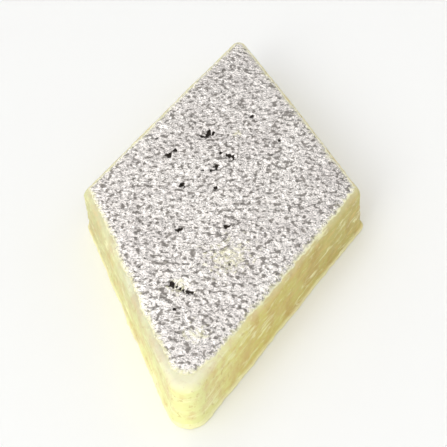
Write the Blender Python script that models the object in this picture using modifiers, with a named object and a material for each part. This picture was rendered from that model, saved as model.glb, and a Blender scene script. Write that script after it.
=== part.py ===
"""Kaju barfi: one thin diamond of cashew fudge with a sheet of beaten silver leaf on top.

The diamond lies flat. Its long diagonal runs along Y, with the more worn tip towards -Y,
and the middle of its underside is the origin.
"""

import math

import bmesh
import bpy
from mathutils import Matrix, Vector, noise

MM = 0.001

# Corners of the diamond in plan before they are rounded, as uneven as the hand cut them
FRONT_TIP = Vector((-0.6, -35.6)) * MM
RIGHT_CORNER = Vector((17.7, 0.1)) * MM
BACK_TIP = Vector((-0.5, 34.9)) * MM
LEFT_CORNER = Vector((-17.2, -0.9)) * MM
FRONT_TIP_RADIUS = 2.0 * MM
RIGHT_CORNER_RADIUS = 1.8 * MM
BACK_TIP_RADIUS = 1.1 * MM
LEFT_CORNER_RADIUS = 1.1 * MM

# Heights and edges of the fudge
FUDGE_THICKNESS = 5.95 * MM
RIM_RADIUS = 0.9 * MM            # top edge, pressed round when it was cut
FOOT_RADIUS = 0.2 * MM           # bottom edge
LIP_HEIGHT = 0.30 * MM           # where the burr at the foot is fullest
LIP_SPREAD = 0.34 * MM           # how tall that burr is
LIP_DEPTH = 0.28 * MM            # mean depth of the burr
LIP_CHANGE = 0.16 * MM           # more or less of it along the side
LIP_CHANGE_LENGTH = 3.2 * MM

# Unevenness of the hand-rolled top and the knife-cut sides
TOP_WAVE = 0.13 * MM
TOP_WAVE_LENGTH = 13.0 * MM
CUT_WANDER = 0.14 * MM
CUT_WANDER_LENGTH = 17.0 * MM
DRAG_DEPTH = 0.07 * MM
DRAG_LENGTH = 9.0 * MM
DRAG_HEIGHT = 1.3 * MM

# Silver leaf
LEAF_THICKNESS = 0.2 * MM
LEAF_GAP = 0.3 * MM
LEAF_INSET = 0.8 * MM            # mean distance from the cut side to the torn edge
LEAF_SHIFT = Vector((0.15, 0.0)) * MM
LEAF_TEAR = 0.4 * MM
LEAF_TEAR_LENGTH = 3.2 * MM
LEAF_TIP_BARE = 2.4 * MM         # extra bare fudge at the front tip
LEAF_TIP_REACH = 5.0 * MM
LEAF_CRINKLE = 0.06 * MM
LEAF_CRINKLE_LENGTH = 2.6 * MM

# Fineness of the meshes
SIDE_STEPS = 26
CORNER_CROWDING = 0.55           # share of the steps that is drawn towards the corners
FOOT_STEPS = 2
WALL_STEPS = 9
WALL_CROWDING = 1.5              # power that draws the steps of a side towards its foot
RIM_STEPS = 4

# The corners anticlockwise from the front tip, each with its radius
CORNERS = (
    (FRONT_TIP, FRONT_TIP_RADIUS),
    (RIGHT_CORNER, RIGHT_CORNER_RADIUS),
    (BACK_TIP, BACK_TIP_RADIUS),
    (LEFT_CORNER, LEFT_CORNER_RADIUS),
)


def clear_scene():
    for old in list(bpy.data.objects):
        bpy.data.objects.remove(old, do_unlink=True)


def corner(index):
    return CORNERS[index % len(CORNERS)]


def side_directions(side):
    """Unit vectors along a side and square to it, pointing out of the diamond."""
    along = (corner(side + 1)[0] - corner(side)[0]).normalized()
    return along, Vector((along.y, -along.x))


def half_turn(index):
    """Half of the angle through which the outline turns at a corner."""
    return 0.5 * side_directions(index - 1)[0].angle(side_directions(index)[0])


def turned(direction, angle):
    return Matrix.Rotation(angle, 2) @ direction


def outline(side, share):
    """Point and outward direction on the cut outline.

    A side runs from the middle of one rounded corner to the middle of the next,
    and share goes from 0 to 1 along it.
    """
    start, start_radius = corner(side)
    end, end_radius = corner(side + 1)
    along, outward = side_directions(side)
    start_turn = half_turn(side)
    end_turn = half_turn(side + 1)
    first = start + along * start_radius * math.tan(start_turn)
    last = end - along * end_radius * math.tan(end_turn)
    start_arc = start_radius * start_turn
    straight = (last - first).length
    travelled = share * (start_arc + straight + end_radius * end_turn)
    if travelled < start_arc:
        direction = turned(outward, travelled / start_radius - start_turn)
        return first + start_radius * (direction - outward), direction
    if travelled > start_arc + straight:
        direction = turned(outward, (travelled - start_arc - straight) / end_radius)
        return last + end_radius * (direction - outward), direction
    return first + along * (travelled - start_arc), outward


def crowded(share):
    """Draw the even steps of a side towards its two corners."""
    eased = 0.5 - 0.5 * math.cos(math.pi * share)
    return share + CORNER_CROWDING * (eased - share)


def ring_place(across, deep):
    """Ring (0 at the middle, 1 at the edge), side and share of a point of a square grid."""
    ring = max(abs(across), abs(deep))
    if ring == 0.0:
        return 0.0, 0, 0.0
    if deep == -ring:
        return ring, 0, crowded(0.5 + 0.5 * across / ring)
    if across == ring:
        return ring, 1, crowded(0.5 + 0.5 * deep / ring)
    if deep == ring:
        return ring, 2, crowded(0.5 - 0.5 * across / ring)
    return ring, 3, crowded(0.5 - 0.5 * deep / ring)


def wave(point, height, length, tall):
    """Smooth unevenness from -1 to 1, of one length in plan and another in height."""
    return noise.noise(Vector((point.x / length, point.y / length, height / tall)))


def top_wave(point):
    return TOP_WAVE * wave(point, 0.0, TOP_WAVE_LENGTH, TOP_WAVE_LENGTH)


def side_profile():
    """Distance inside the cut outline and height, from the underside up to the flat top."""
    profile = []
    for step in range(FOOT_STEPS + 1):
        angle = 0.5 * math.pi * step / FOOT_STEPS
        profile.append((FOOT_RADIUS * (1.0 - math.sin(angle)), FOOT_RADIUS * (1.0 - math.cos(angle))))
    rim_start = FUDGE_THICKNESS - RIM_RADIUS
    for step in range(1, WALL_STEPS):
        share = (step / WALL_STEPS) ** WALL_CROWDING
        profile.append((0.0, FOOT_RADIUS + share * (rim_start - FOOT_RADIUS)))
    for step in range(RIM_STEPS + 1):
        angle = 0.5 * math.pi * step / RIM_STEPS
        profile.append((RIM_RADIUS * (1.0 - math.cos(angle)), rim_start + RIM_RADIUS * math.sin(angle)))
    return profile


def cut_relief(point, height):
    """How far the cut side stands proud of its outline."""
    wander = CUT_WANDER * wave(point, height, CUT_WANDER_LENGTH, CUT_WANDER_LENGTH)
    drag = DRAG_DEPTH * wave(point, height, DRAG_LENGTH, DRAG_HEIGHT)
    fullness = math.exp(-(((height - LIP_HEIGHT) / LIP_SPREAD) ** 2))
    lip = LIP_DEPTH + LIP_CHANGE * wave(point, 1.0, LIP_CHANGE_LENGTH, 1.0)
    return wander + drag + fullness * lip


def shape_fudge(mesh, profile):
    """Move the points of a cube of even steps onto the diamond."""
    for vert in mesh.verts:
        ring, side, share = ring_place(vert.co.x, vert.co.y)
        inset, height = profile[round((len(profile) - 1) * (0.5 + 0.5 * vert.co.z))]
        flat, outward = outline(side, share)
        place = ring * (flat + outward * (cut_relief(flat, height) - inset))
        lifted = (height / FUDGE_THICKNESS) ** 2
        vert.co = (place.x, place.y, height + lifted * top_wave(place))


def rim_drop(place):
    """How far the rounded rim lies below the flat top at a place in plan."""
    distances = [(corner(side)[0] - place).dot(side_directions(side)[1]) for side in range(len(CORNERS))]
    inside = max(RIM_RADIUS - min(distances), 0.0)
    return RIM_RADIUS - math.sqrt(RIM_RADIUS ** 2 - inside ** 2)


def leaf_place(ring, side, share):
    """A point of the leaf in plan, with a torn edge and the front tip left bare."""
    flat, outward = outline(side, share)
    tear = LEAF_TEAR * wave(flat, 0.5, LEAF_TEAR_LENGTH, 1.0)
    place = flat - outward * (LEAF_INSET + tear) + LEAF_SHIFT
    behind_tip = (place.y - FRONT_TIP.y) / LEAF_TIP_REACH
    place.y += LEAF_TIP_BARE * math.exp(-(behind_tip ** 2))
    return ring * place


def shape_leaf(mesh):
    """Lay the points of a square sheet on the diamond's top."""
    for vert in mesh.verts:
        place = leaf_place(*ring_place(vert.co.x, vert.co.y))
        crinkle = 1.0 + wave(place, 0.0, LEAF_CRINKLE_LENGTH, LEAF_CRINKLE_LENGTH)
        height = FUDGE_THICKNESS + top_wave(place) - rim_drop(place)
        vert.co = (place.x, place.y, height + LEAF_GAP + LEAF_CRINKLE * crinkle)


def surface_material(name, colour, roughness, metallic, subsurface):
    material = bpy.data.materials.new(name)
    material.use_nodes = True
    material.diffuse_color = (*colour, 1.0)
    shader = material.node_tree.nodes["Principled BSDF"]
    shader.inputs["Base Color"].default_value = (*colour, 1.0)
    shader.inputs["Roughness"].default_value = roughness
    shader.inputs["Metallic"].default_value = metallic
    shader.inputs["Subsurface Weight"].default_value = subsurface
    return material


def finished_piece(name, mesh, material, collection):
    data = bpy.data.meshes.new(name)
    mesh.to_mesh(data)
    mesh.free()
    data.shade_smooth()
    data.materials.append(material)
    piece = bpy.data.objects.new(name, data)
    collection.objects.link(piece)
    return piece


def cashew_fudge(collection):
    """The diamond of fudge, from a cube whose faces are split into even steps."""
    profile = side_profile()
    mesh = bmesh.new()
    bmesh.ops.create_cube(mesh, size=2.0)
    level_edges = [edge for edge in mesh.edges if edge.verts[0].co.z == edge.verts[1].co.z]
    bmesh.ops.subdivide_edges(mesh, edges=level_edges, cuts=SIDE_STEPS - 1, use_grid_fill=True)
    upright_edges = [edge for edge in mesh.edges if edge.verts[0].co.z != edge.verts[1].co.z]
    bmesh.ops.subdivide_edges(mesh, edges=upright_edges, cuts=len(profile) - 2, use_grid_fill=True)
    shape_fudge(mesh, profile)
    material = surface_material("cashew_fudge", (0.72, 0.61, 0.30), 0.5, 0.0, 0.15)
    return finished_piece("cashew_fudge", mesh, material, collection)


def silver_leaf(collection):
    """The leaf on the fudge, from a square sheet that Solidify gives its thickness."""
    mesh = bmesh.new()
    bmesh.ops.create_grid(mesh, x_segments=SIDE_STEPS, y_segments=SIDE_STEPS, size=1.0)
    shape_leaf(mesh)
    bmesh.ops.triangulate(mesh, faces=mesh.faces)
    material = surface_material("silver_leaf", (0.78, 0.78, 0.79), 0.38, 1.0, 0.0)
    leaf = finished_piece("silver_leaf", mesh, material, collection)
    thickness = leaf.modifiers.new("thickness", 'SOLIDIFY')
    thickness.thickness = LEAF_THICKNESS
    thickness.offset = 1.0
    return leaf


def centre_on_origin(guide, pieces):
    """Bring the middle of the guide's footprint to the origin."""
    middle = Vector((0.0, 0.0, 0.0))
    for axis in (0, 1):
        places = [vert.co[axis] for vert in guide.data.vertices]
        middle[axis] = 0.5 * (min(places) + max(places))
    for piece in pieces:
        piece.data.transform(Matrix.Translation(-middle))


clear_scene()
sweet = bpy.data.collections.new("kaju_barfi")
bpy.context.scene.collection.children.link(sweet)
fudge = cashew_fudge(sweet)
centre_on_origin(fudge, (fudge, silver_leaf(sweet)))
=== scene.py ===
import math

import bmesh
import bpy
from mathutils import Matrix, Quaternion, Vector, noise
from mathutils.bvhtree import BVHTree


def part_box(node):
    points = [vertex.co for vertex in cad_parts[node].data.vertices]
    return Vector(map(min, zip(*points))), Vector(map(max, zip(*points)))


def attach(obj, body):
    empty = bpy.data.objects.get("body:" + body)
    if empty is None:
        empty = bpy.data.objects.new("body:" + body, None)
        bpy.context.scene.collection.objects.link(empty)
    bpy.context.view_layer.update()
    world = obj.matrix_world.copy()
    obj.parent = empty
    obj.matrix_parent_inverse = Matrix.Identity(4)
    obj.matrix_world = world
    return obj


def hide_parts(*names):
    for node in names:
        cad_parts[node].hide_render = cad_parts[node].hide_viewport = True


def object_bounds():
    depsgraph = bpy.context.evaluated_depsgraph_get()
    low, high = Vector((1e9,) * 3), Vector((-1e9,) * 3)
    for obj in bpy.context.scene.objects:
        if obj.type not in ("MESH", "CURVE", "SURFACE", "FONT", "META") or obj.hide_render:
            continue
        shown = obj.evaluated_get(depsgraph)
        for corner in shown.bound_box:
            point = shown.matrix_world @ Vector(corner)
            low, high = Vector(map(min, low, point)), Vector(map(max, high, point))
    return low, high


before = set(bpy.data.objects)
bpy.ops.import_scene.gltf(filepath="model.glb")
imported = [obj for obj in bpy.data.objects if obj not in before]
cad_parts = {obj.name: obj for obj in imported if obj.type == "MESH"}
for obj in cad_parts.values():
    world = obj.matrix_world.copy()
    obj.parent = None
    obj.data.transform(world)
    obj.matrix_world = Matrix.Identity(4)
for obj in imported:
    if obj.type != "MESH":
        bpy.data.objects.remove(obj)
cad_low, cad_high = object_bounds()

MM = 0.001

# Cashew fudge: cashew nuts ground fine and cooked with sugar to a stiff dough, which is
# rolled flat on a greased tray and cut into diamonds with a knife while it is still soft.
# The knife rounds the top rim, drags streaks along the sides and leaves a burr at the foot.
fudge_low, fudge_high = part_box("cashew_fudge")
leaf_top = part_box("silver_leaf")[1].z

FRONT_TIP = Vector((-0.6, -35.6)) * MM
CORNERS = (                                   # anticlockwise in plan, each with its radius
    (FRONT_TIP, 2.0 * MM),
    (Vector((17.7, 0.1)) * MM, 1.8 * MM),
    (Vector((-0.5, 34.9)) * MM, 1.1 * MM),
    (Vector((-17.2, -0.9)) * MM, 1.1 * MM),
)
LEAF_RELIEF = 0.26 * MM                       # from the fudge's top to the leaf's highest crease
FUDGE_TOP = leaf_top - LEAF_RELIEF
RIM_RADIUS = 0.9 * MM
FOOT_RADIUS = 0.2 * MM
LIP_HEIGHT = 0.30 * MM                        # where the burr at the foot is fullest
LIP_SPREAD = 0.34 * MM                        # how tall that burr is
LIP_DEPTH = 0.28 * MM
LIP_CHANGE = 0.16 * MM                        # more or less of it along the side
LIP_CHANGE_LENGTH = 3.2 * MM
CRUMB_DEPTH = 0.14 * MM                       # crumbs that hang on the burr
CRUMB_SIZE = 0.7 * MM
CUT_WANDER = 0.12 * MM                        # how far the knife strayed
CUT_WANDER_LENGTH = 17.0 * MM
DRAG_LINES = (                                # depth, length and height of each grade, in mm
    (0.05, 8.0, 0.90),
    (0.06, 4.0, 0.40),
    (0.06, 0.8, 0.40),
)
PORE_DEPTH = 0.30 * MM
PORE_LENGTH = 1.4 * MM
PORE_HEIGHT = 0.7 * MM
PORE_LEVEL = 0.42                             # the share of the noise that opens no pore
PORE_SLICE = 68.0 * MM                        # a part of the noise that nothing else uses
TIP_WEAR = 8.0 * MM                           # how far back the tip is worn smooth
TIP_SMOOTHNESS = 0.8
TOP_WAVE = 0.13 * MM
TOP_WAVE_LENGTH = 13.0 * MM
TOP_GRAIN = 0.02 * MM
TOP_GRAIN_LENGTH = 1.1 * MM
TOP_GRAIN_SLICE = 9.0 * MM
RAGGEDNESS = 1.3                              # how far a blob's edge strays from a circle
RAGGED_SIZE = 0.38                            # mm
SIDE_STEPS = 150
WALL_STEPS = 34
RIM_STEPS = 8
FOOT_STEPS = 3

# Hollows in the top, where a coarse bit of nut was dragged out before the leaf went on:
# place in plan, radius and depth, in mm
TOP_PITS = (
    (-2.4, 11.1, 0.70, 0.34),
    (-3.2, 10.3, 0.44, 0.26),
    (-7.2, 6.3, 0.44, 0.26),
    (-6.4, 7.4, 0.42, 0.24),
    (0.8, 6.3, 0.62, 0.28),
    (1.3, 5.6, 0.26, 0.16),
    (-0.5, 7.0, 0.36, 0.20),
    (-0.9, 4.0, 0.56, 0.24),
    (-1.3, 3.3, 0.34, 0.18),
    (-2.4, 3.2, 0.30, 0.18),
    (-4.8, 0.4, 0.44, 0.28),
    (-4.0, -8.1, 0.44, 0.28),
    (1.6, -7.3, 0.52, 0.28),
    (-3.6, -17.6, 0.50, 0.32),
    (-3.1, -18.0, 0.28, 0.18),
    (-2.7, -18.3, 0.28, 0.18),
    (-2.3, -18.5, 0.30, 0.18),
    (-1.8, -18.7, 0.36, 0.22),
    (-1.3, -18.8, 0.24, 0.14),
    (6.9, 9.5, 0.36, 0.22),
    (-9.1, 9.8, 0.30, 0.18),
    (2.9, 14.7, 0.34, 0.22),
    (-1.7, 20.2, 0.26, 0.16),
    (-0.5, -0.2, 0.30, 0.18),
    (-3.0, -21.6, 0.22, 0.12),
    (2.5, -14.2, 0.20, 0.12),
)


def corner(index):
    return CORNERS[index % len(CORNERS)]


def side_directions(side):
    """Unit vectors along a side and square to it, pointing out of the diamond."""
    along = (corner(side + 1)[0] - corner(side)[0]).normalized()
    return along, Vector((along.y, -along.x))


def half_turn(index):
    return 0.5 * side_directions(index - 1)[0].angle(side_directions(index)[0])


def outline(side, share):
    """Point and outward direction on the cut, from mid-corner to mid-corner along a side."""
    start, start_radius = corner(side)
    end, end_radius = corner(side + 1)
    along, outward = side_directions(side)
    start_turn = half_turn(side)
    end_turn = half_turn(side + 1)
    first = start + along * start_radius * math.tan(start_turn)
    last = end - along * end_radius * math.tan(end_turn)
    start_arc = start_radius * start_turn
    straight = (last - first).length
    travelled = share * (start_arc + straight + end_radius * end_turn)
    if travelled < start_arc:
        direction = Matrix.Rotation(travelled / start_radius - start_turn, 2) @ outward
        return first + start_radius * (direction - outward), direction
    if travelled > start_arc + straight:
        turn = (travelled - start_arc - straight) / end_radius
        direction = Matrix.Rotation(turn, 2) @ outward
        return last + end_radius * (direction - outward), direction
    return first + along * (travelled - start_arc), outward


def ring_place(across, deep):
    """Ring (0 at the middle, 1 at the edge), side and share of a point of a square grid."""
    ring = max(abs(across), abs(deep))
    if ring == 0.0:
        return 0.0, 0, 0.0
    if deep == -ring:
        return ring, 0, 0.5 + 0.5 * across / ring
    if across == ring:
        return ring, 1, 0.5 + 0.5 * deep / ring
    if deep == ring:
        return ring, 2, 0.5 - 0.5 * across / ring
    return ring, 3, 0.5 - 0.5 * deep / ring


def wave(place, height, length, tall):
    """Smooth unevenness from -1 to 1, of one length in plan and another in height."""
    return noise.noise(Vector((place.x / length, place.y / length, height / tall)))


def blob(place, x, y, radius):
    """Fullness of a ragged blob, given in mm, at a place: 1 at its middle, 0 well outside."""
    across = place.x / MM - x
    deep = place.y / MM - y
    edge_noise = noise.noise(Vector((across / RAGGED_SIZE, deep / RAGGED_SIZE, x + y)))
    away = math.hypot(across, deep) / (radius * max(1.0 + RAGGEDNESS * edge_noise, 0.3))
    return math.exp(-min(away ** 3, 30.0))


def top_relief(place):
    """Rolling waves, fine grain and pits of the top."""
    relief = TOP_WAVE * wave(place, 0.0, TOP_WAVE_LENGTH, TOP_WAVE_LENGTH)
    relief += TOP_GRAIN * wave(place, TOP_GRAIN_SLICE, TOP_GRAIN_LENGTH, MM)
    for x, y, radius, depth in TOP_PITS:
        relief -= depth * MM * blob(place, x, y, radius)
    return relief


def cut_relief(place, height):
    """How far the knife-cut side stands proud of its outline, smoother at the worn tip."""
    behind_tip = (place.y - FRONT_TIP.y) / TIP_WEAR
    rough = 1.0 - TIP_SMOOTHNESS * math.exp(-(behind_tip ** 2))
    relief = CUT_WANDER * wave(place, height, CUT_WANDER_LENGTH, CUT_WANDER_LENGTH)
    for depth, length, tall in DRAG_LINES:
        relief += depth * MM * rough * wave(place, height, length * MM, tall * MM)
    pore = max(wave(place, height + PORE_SLICE, PORE_LENGTH, PORE_HEIGHT) - PORE_LEVEL, 0.0)
    relief -= PORE_DEPTH * rough * pore
    fullness = math.exp(-(((height - LIP_HEIGHT) / LIP_SPREAD) ** 2))
    lip = LIP_DEPTH + LIP_CHANGE * wave(place, 1.0, LIP_CHANGE_LENGTH, 1.0)
    crumbs = CRUMB_DEPTH * max(wave(place, height, CRUMB_SIZE, CRUMB_SIZE), 0.0)
    return relief + fullness * (lip + crumbs)


def side_profile():
    """Distance inside the cut and height, from the underside up to the flat top."""
    profile = []
    for step in range(FOOT_STEPS + 1):
        angle = 0.5 * math.pi * step / FOOT_STEPS
        inset = FOOT_RADIUS * (1.0 - math.sin(angle))
        profile.append((inset, FOOT_RADIUS * (1.0 - math.cos(angle))))
    rim_start = FUDGE_TOP - RIM_RADIUS
    for step in range(1, WALL_STEPS):
        profile.append((0.0, FOOT_RADIUS + (rim_start - FOOT_RADIUS) * step / WALL_STEPS))
    for step in range(RIM_STEPS + 1):
        angle = 0.5 * math.pi * step / RIM_STEPS
        inset = RIM_RADIUS * (1.0 - math.cos(angle))
        profile.append((inset, rim_start + RIM_RADIUS * math.sin(angle)))
    return profile


profile = side_profile()
fudge_mesh = bmesh.new()
bmesh.ops.create_cube(fudge_mesh, size=2.0)
level_edges = [edge for edge in fudge_mesh.edges if edge.verts[0].co.z == edge.verts[1].co.z]
bmesh.ops.subdivide_edges(
    fudge_mesh, edges=level_edges, cuts=SIDE_STEPS - 1, use_grid_fill=True)
upright_edges = [edge for edge in fudge_mesh.edges if edge.verts[0].co.z != edge.verts[1].co.z]
bmesh.ops.subdivide_edges(
    fudge_mesh, edges=upright_edges, cuts=len(profile) - 2, use_grid_fill=True)
for vert in fudge_mesh.verts:
    ring, side, share = ring_place(vert.co.x, vert.co.y)
    inset, height = profile[round((len(profile) - 1) * (0.5 + 0.5 * vert.co.z))]
    flat, outward = outline(side, share)
    place = ring * (flat + outward * (cut_relief(flat, height) - inset))
    lifted = (height / FUDGE_TOP) ** 2
    vert.co = (place.x, place.y, height + lifted * top_relief(place))

spread = [[vert.co[axis] for vert in fudge_mesh.verts] for axis in (0, 1)]
middle = Vector([0.5 * (min(places) + max(places)) for places in spread] + [0.0])
cad_middle = 0.5 * (fudge_low + fudge_high)
onto_cad = Matrix.Translation(Vector((cad_middle.x, cad_middle.y, fudge_low.z)) - middle)
surface = BVHTree.FromBMesh(fudge_mesh)


def placed(name, mesh, material):
    """Turn a bmesh into an object whose place is in its mesh."""
    bmesh.ops.transform(mesh, matrix=onto_cad, verts=mesh.verts)
    data = bpy.data.meshes.new(name)
    mesh.to_mesh(data)
    mesh.free()
    data.shade_smooth()
    data.materials.append(material)
    piece = bpy.data.objects.new(name, data)
    bpy.context.scene.collection.objects.link(piece)
    return piece


def linear(code):
    """Linear colour of an sRGB hex value."""
    parts = [int(code[place:place + 2], 16) / 255.0 for place in (1, 3, 5)]
    return tuple(
        part / 12.92 if part <= 0.04045 else ((part + 0.055) / 1.055) ** 2.4
        for part in parts) + (1.0,)


def per_mm(size):
    """Texture scale of a pattern that repeats every so many millimetres."""
    return 1.0 / (size * MM)


def add_node(tree, kind, values=None, links=None, **settings):
    """Add a node with its settings, its socket values and the links into it."""
    node = tree.nodes.new(kind)
    for name, value in settings.items():
        setattr(node, name, value)
    for socket, value in (values or {}).items():
        node.inputs[socket].default_value = value
    for socket, source in (links or {}).items():
        tree.links.new(source, node.inputs[socket])
    return node


def cashew_fudge_material():
    """Cashew fudge, rolled and knife-cut: waxy yellow that lets a little light in, with warm
    mottling, streaks along the cut and specks of coarser nut. The worn tip is lemon; the
    top rim carries a painted highlight all round, strongest at the tip, and a painted
    highlight runs along the foot. The rest is darkened with painted shade, most of all on
    the right, and the front-left cut is darkened high up with painted shade."""
    material = bpy.data.materials.new("cashew_fudge_rolled_and_cut")
    material.use_nodes = True
    tree = material.node_tree
    shader = tree.nodes["Principled BSDF"]
    where = add_node(tree, "ShaderNodeTexCoord").outputs["Object"]
    mottle = add_node(
        tree, "ShaderNodeTexNoise",
        {"Scale": per_mm(2.6), "Detail": 4.0, "Roughness": 0.65}, {"Vector": where})
    patches = add_node(
        tree, "ShaderNodeMapRange",
        {"From Min": 0.44, "From Max": 0.64}, {"Value": mottle.outputs["Fac"]})
    body = add_node(
        tree, "ShaderNodeMix",
        {6: linear("#EAEAA5"), 7: linear("#DFCD90")}, {0: patches.outputs["Result"]},
        data_type='RGBA')
    level = add_node(tree, "ShaderNodeSeparateXYZ", links={"Vector": where})
    # Painted shade: from x = 0.5 mm to 6 mm the colour is darkened and warmed towards tan, so
    # the right side looks shaded.
    right_shade_share = add_node(
        tree, "ShaderNodeMapRange",
        {"From Min": 0.5 * MM, "From Max": 6.0 * MM}, {"Value": level.outputs["X"]})
    right_painted_shade = add_node(
        tree, "ShaderNodeMix",
        {7: (0.89, 0.80, 0.51, 1.0)}, {0: right_shade_share.outputs["Result"], 6: body.outputs[2]},
        data_type='RGBA', blend_type='MULTIPLY')
    # Painted shade: the colour darkens from the tip backwards, to 0.72 of itself behind the
    # front third.
    back_shade_share = add_node(
        tree, "ShaderNodeMapRange",
        {"From Min": -28.0 * MM, "From Max": -6.0 * MM}, {"Value": level.outputs["Y"]})
    back_painted_shade = add_node(
        tree, "ShaderNodeMix",
        {7: (0.72, 0.71, 0.71, 1.0)}, {0: back_shade_share.outputs["Result"], 6: right_painted_shade.outputs[2]},
        data_type='RGBA', blend_type='MULTIPLY')
    stretched = add_node(
        tree, "ShaderNodeMapping",
        {"Scale": (per_mm(3.2), per_mm(3.2), per_mm(0.55))}, {"Vector": where})
    streaks = add_node(
        tree, "ShaderNodeTexNoise",
        {"Scale": 1.0, "Detail": 4.0, "Roughness": 0.7, "Distortion": 0.5},
        {"Vector": stretched.outputs["Vector"]})
    pale_share = add_node(
        tree, "ShaderNodeMapRange",
        {"From Min": 0.53, "From Max": 0.66, "To Max": 0.8}, {"Value": streaks.outputs["Fac"]})
    paled = add_node(
        tree, "ShaderNodeMix",
        {7: linear("#F8F6C6")}, {0: pale_share.outputs["Result"], 6: back_painted_shade.outputs[2]},
        data_type='RGBA')
    unworn = add_node(
        tree, "ShaderNodeMapRange",
        {"From Min": -32.0 * MM, "From Max": -26.0 * MM, "To Min": 0.1, "To Max": 0.7},
        {"Value": level.outputs["Y"]})
    tan_share = add_node(
        tree, "ShaderNodeMapRange",
        {"From Min": 0.48, "From Max": 0.36},
        {"Value": streaks.outputs["Fac"], "To Max": unworn.outputs["Result"]})
    streaked = add_node(
        tree, "ShaderNodeMix",
        {7: linear("#D9C07A")}, {0: tan_share.outputs["Result"], 6: paled.outputs[2]},
        data_type='RGBA')
    grain = add_node(
        tree, "ShaderNodeTexNoise",
        {"Scale": per_mm(0.5), "Detail": 3.0, "Roughness": 0.6}, {"Vector": where})
    bit_share = add_node(
        tree, "ShaderNodeMapRange",
        {"From Min": 0.58, "From Max": 0.68, "To Max": 0.5}, {"Value": grain.outputs["Fac"]})
    flecked = add_node(
        tree, "ShaderNodeMix",
        {7: linear("#C4AA66")}, {0: bit_share.outputs["Result"], 6: streaked.outputs[2]},
        data_type='RGBA')
    # Painted highlight: a pale band low on the side, where the burr at the foot would catch the
    # light.
    foot = add_node(
        tree, "ShaderNodeMapRange",
        {"From Min": 0.70 * MM, "From Max": 0.40 * MM, "To Max": 0.7},
        {"Value": level.outputs["Z"]})
    foot_highlighted = add_node(
        tree, "ShaderNodeMix",
        {7: linear("#F8F3C6")}, {0: foot.outputs["Result"], 6: flecked.outputs[2]},
        data_type='RGBA')
    # Painted highlight: the top rim is paled all round, most of all at the tip.
    worn = add_node(
        tree, "ShaderNodeMapRange",
        {"From Min": -26.0 * MM, "From Max": -32.0 * MM, "To Min": 0.35, "To Max": 0.7},
        {"Value": level.outputs["Y"]})
    rim = add_node(
        tree, "ShaderNodeMapRange",
        {"From Min": FUDGE_TOP - 0.8 * MM, "From Max": FUDGE_TOP},
        {"Value": level.outputs["Z"], "To Max": worn.outputs["Result"]})
    rim_highlighted = add_node(
        tree, "ShaderNodeMix",
        {7: linear("#F6F1DA")}, {0: rim.outputs["Result"], 6: foot_highlighted.outputs[2]},
        data_type='RGBA')
    # Painted shade: the front-left cut is darkened high up, below its rim.
    below_rim = add_node(
        tree, "ShaderNodeMapRange",
        {"From Min": 2.2 * MM, "From Max": 5.2 * MM}, {"Value": level.outputs["Z"]})
    from_shade_middle = add_node(
        tree, "ShaderNodeVectorMath",
        {1: (-6.8 * MM, -22.5 * MM, 4.5 * MM)}, {0: where}, operation='DISTANCE')
    front_left_shade_share = add_node(
        tree, "ShaderNodeMapRange",
        {"From Min": 6.0 * MM, "From Max": 11.0 * MM, "To Max": 0.0},
        {"Value": from_shade_middle.outputs["Value"], "To Min": below_rim.outputs["Result"]})
    dulled = add_node(
        tree, "ShaderNodeMix",
        {7: (0.89, 0.91, 1.0, 1.0)}, {0: front_left_shade_share.outputs["Result"], 6: rim_highlighted.outputs[2]},
        data_type='RGBA', blend_type='MULTIPLY')
    gloss = add_node(
        tree, "ShaderNodeMapRange",
        {"From Min": 0.3, "From Max": 0.7, "To Min": 0.42, "To Max": 0.6},
        {"Value": grain.outputs["Fac"]})
    streak_bump = add_node(
        tree, "ShaderNodeBump",
        {"Strength": 0.5, "Distance": 0.05 * MM}, {"Height": streaks.outputs["Fac"]})
    bump = add_node(
        tree, "ShaderNodeBump",
        {"Strength": 1.0, "Distance": 0.07 * MM},
        {"Height": grain.outputs["Fac"], "Normal": streak_bump.outputs["Normal"]})
    tree.links.new(dulled.outputs[2], shader.inputs["Base Color"])
    tree.links.new(gloss.outputs["Result"], shader.inputs["Roughness"])
    tree.links.new(bump.outputs["Normal"], shader.inputs["Normal"])
    shader.inputs["IOR"].default_value = 1.45
    shader.inputs["Subsurface Weight"].default_value = 0.25
    shader.inputs["Subsurface Radius"].default_value = (1.0, 0.9, 0.45)
    shader.inputs["Subsurface Scale"].default_value = 0.6 * MM
    return material


fudge = placed("cashew_fudge_diamond", fudge_mesh, cashew_fudge_material())
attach(fudge, "root")
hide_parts("cashew_fudge")

# Silver leaf: pure silver beaten between sheets until it is thinner than a breath can
# leave whole. It is laid on the warm fudge, where it clings, crinkles over the grain,
# follows the pits and tears back from the rim and the worn tip.
LEAF_STEPS = 212
LEAF_INSET = 0.55 * MM                        # from the cut side to the leaf's untorn edge
LEAF_SHIFT = Vector((0.05, 0.2)) * MM
LEAF_THICKNESS = 0.02 * MM                    # as thin as the mesh allows
LEAF_CLEARANCE = 0.005 * MM
MEAN_RISE = 0.09                              # of the creases over the fudge, in mm
LEAST_RISE = 0.01
SWELL_RISE = 0.09
SWELL_LENGTH = 0.9 * MM
CREASE_RISE = 0.07
CREASE_LENGTH = 0.62 * MM
CALM_LENGTH = 6.0 * MM                        # of the calmer and livelier parts of the sheet
DOWN = Vector((0.0, 0.0, -1.0))
BITE_DEPTH = 0.40 * MM                        # broad bites out of the edge
BITE_LENGTH = 3.2 * MM
TOOTH_DEPTH = 0.16 * MM                       # fine teeth along it
TOOTH_LENGTH = 0.6 * MM
TEAR_SLICE = 0.5                              # a part of the noise that nothing else uses
EDGE_WIDTH = 0.2                              # the outer share of the sheet that clings flat
EDGE_WEAR = 0.9
TIP_BARE = 2.0 * MM                           # extra bare fudge at the front tip
TIP_REACH = 5.0 * MM
PATCH_WEAR = 0.45
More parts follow.
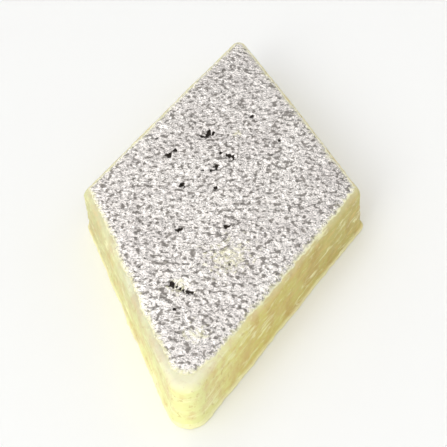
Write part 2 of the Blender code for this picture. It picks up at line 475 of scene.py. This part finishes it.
PIT_CORE = 0.8                                # the share of a pit's radius where the leaf is painted dark as shade
WORN_PATCHES = (                              # place in plan and radius, in mm
    (2.5, -12.9, 3.0),
    (-2.9, -18.0, 1.5),
    (0.0, -25.3, 1.4),
    (1.2, 10.8, 0.8),
)


def torn(place):
    """How far the leaf's edge is torn back, in broad bites with fine teeth."""
    broad = BITE_DEPTH * max(wave(place, TEAR_SLICE, BITE_LENGTH, 1.0), -0.3)
    teeth = TOOTH_DEPTH * wave(place, TEAR_SLICE, TOOTH_LENGTH, 1.0)
    return broad + teeth


def crinkle(place):
    """Height of the leaf's creases above the fudge, in metres."""
    calm = 1.0 + 0.5 * wave(place, 3.0 * MM, CALM_LENGTH, MM)
    swell = wave(place, 5.0 * MM, SWELL_LENGTH, MM)
    crease = 1.0 - 2.0 * abs(wave(place, 7.0 * MM, CREASE_LENGTH, MM))
    rise = MEAN_RISE + calm * (SWELL_RISE * swell + CREASE_RISE * crease)
    return max(rise, LEAST_RISE) * MM


leaf_mesh = bmesh.new()
bmesh.ops.create_grid(leaf_mesh, x_segments=LEAF_STEPS, y_segments=LEAF_STEPS, size=1.0)
worn_layer = leaf_mesh.verts.layers.float.new("worn")
sunk_layer = leaf_mesh.verts.layers.float.new("sunk")
for vert in leaf_mesh.verts:
    ring, side, share = ring_place(vert.co.x, vert.co.y)
    flat, outward = outline(side, share)
    edge = max(ring - (1.0 - EDGE_WIDTH), 0.0) / EDGE_WIDTH
    place = ring * (flat - outward * LEAF_INSET + LEAF_SHIFT) - outward * torn(flat) * edge ** 2
    behind_tip = (place.y - FRONT_TIP.y) / TIP_REACH
    place.y += TIP_BARE * math.exp(-(behind_tip ** 2))
    hit, normal = surface.ray_cast(Vector((place.x, place.y, 1.0)), DOWN)[:2]
    vert.co = hit + normal * (crinkle(place) * (1.0 - edge ** 4) + LEAF_CLEARANCE)
    worn = [PATCH_WEAR * blob(place, *patch) for patch in WORN_PATCHES]
    vert[worn_layer] = max(max(worn), EDGE_WEAR * edge ** 6)
    # How far into a pit's middle each point lies; there the leaf is painted dark as shade.
    vert[sunk_layer] = max(
        blob(place, x, y, PIT_CORE * radius) for x, y, radius, depth in TOP_PITS)
bmesh.ops.solidify(leaf_mesh, geom=leaf_mesh.faces[:], thickness=-LEAF_THICKNESS)
bmesh.ops.reverse_faces(leaf_mesh, faces=leaf_mesh.faces[:])


def face_rank(face):
    """A number of each face's own, from the first and the last of the vertices it joins."""
    joined = [vert.index for vert in face.verts]
    return min(joined) * len(leaf_mesh.verts) + max(joined)


# The faces round the edge come in another order each run, so all are put in a set order.
leaf_mesh.verts.index_update()
leaf_mesh.faces.sort(key=face_rank)


def silver_leaf_material():
    """Silver leaf, beaten and laid: bare bright metal, satin from its fine creases, a little
    yellow where it is worn thin over the fudge. The finest real creases are too fine to
    show, so their shade and dark reflections are painted as dark specks, and creases are
    drawn as coarse as they need to show. The middle of each pit is painted near-black as shade."""
    material = bpy.data.materials.new("silver_leaf_beaten")
    material.use_nodes = True
    tree = material.node_tree
    shader = tree.nodes["Principled BSDF"]
    where = add_node(tree, "ShaderNodeTexCoord").outputs["Object"]
    cloud = add_node(
        tree, "ShaderNodeTexNoise",
        {"Scale": per_mm(6.0), "Detail": 4.0, "Roughness": 0.55}, {"Vector": where})
    tone = add_node(
        tree, "ShaderNodeMapRange",
        {"From Min": 0.35, "From Max": 0.65}, {"Value": cloud.outputs["Fac"]})
    silver = add_node(
        tree, "ShaderNodeMix",
        {6: linear("#FAF5F0"), 7: linear("#EAE4E0")}, {0: tone.outputs["Result"]},
        data_type='RGBA')
    # Painted shade and painted reflection: dark specks stand for the finest creases, which are
    # too fine to show.
    specks = add_node(
        tree, "ShaderNodeTexNoise",
        {"Scale": per_mm(0.64), "Detail": 1.0, "Roughness": 0.6}, {"Vector": where})
    crease_shade_share = add_node(
        tree, "ShaderNodeMapRange",
        {"From Min": 0.53, "From Max": 0.63, "To Max": 0.74}, {"Value": specks.outputs["Fac"]})
    shaded = add_node(
        tree, "ShaderNodeMix",
        {7: linear("#5E574F")}, {0: crease_shade_share.outputs["Result"], 6: silver.outputs[2]},
        data_type='RGBA')
    creases = add_node(
        tree, "ShaderNodeTexNoise",
        {"Scale": per_mm(0.50), "Detail": 1.0, "Roughness": 0.6}, {"Vector": where})
    worn = add_node(tree, "ShaderNodeAttribute", attribute_name="worn")
    wear = add_node(
        tree, "ShaderNodeMath", links={0: worn.outputs["Fac"], 1: creases.outputs["Fac"]})
    bare = add_node(
        tree, "ShaderNodeMapRange",
        {"From Min": 0.72, "From Max": 1.30, "To Max": 0.9}, {"Value": wear.outputs["Value"]})
    shown = add_node(
        tree, "ShaderNodeMix",
        {7: linear("#F6F2C4")}, {0: bare.outputs["Result"], 6: shaded.outputs[2]},
        data_type='RGBA')
    # Painted shade: the leaf over the middle of each pit is painted near-black.
    sunk = add_node(tree, "ShaderNodeAttribute", attribute_name="sunk")
    depth = add_node(
        tree, "ShaderNodeMath", links={0: sunk.outputs["Fac"], 1: specks.outputs["Fac"]})
    pit_shade_share = add_node(
        tree, "ShaderNodeMapRange",
        {"From Min": 0.80, "From Max": 0.92}, {"Value": depth.outputs["Value"]})
    dulled = add_node(
        tree, "ShaderNodeMix",
        {7: linear("#2E2823")}, {0: pit_shade_share.outputs["Result"], 6: shown.outputs[2]},
        data_type='RGBA')
    metal = add_node(
        tree, "ShaderNodeMapRange",
        {"To Min": 1.0, "To Max": 0.0}, {"Value": bare.outputs["Result"]})
    satin = add_node(
        tree, "ShaderNodeMapRange",
        {"From Min": 0.3, "From Max": 0.7, "To Min": 0.12, "To Max": 0.26},
        {"Value": specks.outputs["Fac"]})
    bump = add_node(
        tree, "ShaderNodeBump",
        {"Strength": 1.0, "Distance": 0.15 * MM}, {"Height": creases.outputs["Fac"]})
    tree.links.new(dulled.outputs[2], shader.inputs["Base Color"])
    tree.links.new(metal.outputs["Result"], shader.inputs["Metallic"])
    tree.links.new(satin.outputs["Result"], shader.inputs["Roughness"])
    tree.links.new(bump.outputs["Normal"], shader.inputs["Normal"])
    return material


leaf = placed("silver_leaf_sheet", leaf_mesh, silver_leaf_material())
leaf.data.set_sharp_from_angle(angle=math.radians(70.0))
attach(leaf, "root")
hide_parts("silver_leaf")

# The table: a plain matt white board under the sweet, wide enough to fill all but the
# lowest views. It lies a hair below the sweet, so that their faces never meet.
FLOOR_HALF = 0.9
FLOOR_GAP = 0.02 * MM
board = bpy.data.materials.new("painted_board_matt_white")
board.use_nodes = True
board_shader = board.node_tree.nodes["Principled BSDF"]
board_shader.inputs["Base Color"].default_value = linear("#FBFBFA")
board_shader.inputs["Roughness"].default_value = 0.75
floor_mesh = bmesh.new()
bmesh.ops.create_grid(floor_mesh, x_segments=1, y_segments=1, size=FLOOR_HALF)
bmesh.ops.translate(
    floor_mesh, vec=(0.0, 0.0, cad_low.z - FLOOR_GAP), verts=floor_mesh.verts)
floor_data = bpy.data.meshes.new("floor")
floor_mesh.to_mesh(floor_data)
floor_mesh.free()
floor_data.materials.append(board)
floor = bpy.data.objects.new("floor", floor_data)
bpy.context.scene.collection.objects.link(floor)

# Studio light: a soft box low at the front left, which faces the worn tip, and a wide, weak
# panel at the back right, which the leaf mirrors in low views. The pale room around them has
# bright and dim panes, which make the creased leaf sparkle. It is brightest high at the front
# left, and its ceiling is dimmer, so that the leaf stays silver from above.
def soft_box(name, place, size, power, colour):
    """A square area light that faces the sweet."""
    lamp = bpy.data.lights.new(name, 'AREA')
    lamp.size = size
    lamp.energy = power
    lamp.color = colour
    light = bpy.data.objects.new(name, lamp)
    light.location = place
    light.rotation_euler = (-Vector(place)).to_track_quat('-Z', 'Y').to_euler()
    bpy.context.scene.collection.objects.link(light)


soft_box("key_light", (-0.245, -0.52, 0.27), size=0.26, power=1.18, colour=(0.98, 1.0, 0.97))
soft_box("back_panel", (0.49, 0.28, 0.22), size=0.50, power=0.39, colour=(1.0, 1.0, 1.0))

world = bpy.data.worlds.new("room")
bpy.context.scene.world = world
world.use_nodes = True
room = world.node_tree
direction = add_node(room, "ShaderNodeTexCoord").outputs["Generated"]
bright_side = add_node(
    room, "ShaderNodeVectorMath",
    {1: (-0.58, -0.38, 0.72)}, {0: direction}, operation='DOT_PRODUCT')
rise = add_node(
    room, "ShaderNodeMapRange",
    {"From Min": -0.6, "From Max": 0.9, "To Min": 0.454, "To Max": 0.939},
    {"Value": bright_side.outputs["Value"]})
cells = add_node(
    room, "ShaderNodeTexNoise", {"Scale": 3.4, "Detail": 0.0}, {"Vector": direction})
panes = add_node(
    room, "ShaderNodeMapRange",
    {"From Min": 0.38, "From Max": 0.60, "To Min": 0.36, "To Max": 1.95},
    {"Value": cells.outputs["Fac"]}, interpolation_type='SMOOTHSTEP')
glow = add_node(
    room, "ShaderNodeMath",
    links={0: rise.outputs["Result"], 1: panes.outputs["Result"]}, operation='MULTIPLY')
height = add_node(room, "ShaderNodeSeparateXYZ", links={"Vector": direction})
ceiling = add_node(
    room, "ShaderNodeMapRange",
    {"From Min": 0.70, "From Max": 0.98, "To Min": 1.0, "To Max": 0.62},
    {"Value": height.outputs["Z"]})
strength = add_node(
    room, "ShaderNodeMath",
    links={0: glow.outputs["Value"], 1: ceiling.outputs["Result"]}, operation='MULTIPLY')
room.links.new(strength.outputs["Value"], room.nodes["Background"].inputs["Strength"])
room.nodes["Background"].inputs["Color"].default_value = (1.0, 0.998, 0.995, 1.0)

# The camera stands where the photograph's did, a little to the right of the worn tip.
CAMERA_TURN = math.radians(8.6)
CAMERA_RISE = math.radians(39.3)
CAMERA_ROLL = math.radians(-4.6)
CAMERA_DISTANCE = 150.0 * MM
LENS = 97.0
TOP_MIDDLE = Vector((-middle.x, -middle.y, cad_high.z))
AIM = Vector((0.6 * MM - middle.x, -3.0 * MM - middle.y, 3.0 * MM))
stand = TOP_MIDDLE + CAMERA_DISTANCE * Vector((
    math.sin(CAMERA_TURN) * math.cos(CAMERA_RISE),
    -math.cos(CAMERA_TURN) * math.cos(CAMERA_RISE),
    math.sin(CAMERA_RISE)))
lens = bpy.data.cameras.new("camera")
lens.lens = LENS
lens.clip_start = 5.0 * MM
camera = bpy.data.objects.new("camera", lens)
camera.location = stand
turn = (AIM - stand).to_track_quat('-Z', 'Y') @ Quaternion((0.0, 0.0, 1.0), CAMERA_ROLL)
camera.rotation_euler = turn.to_euler()
bpy.context.scene.collection.objects.link(camera)
bpy.context.scene.camera = camera
bpy.context.scene.view_settings.view_transform = 'Standard'
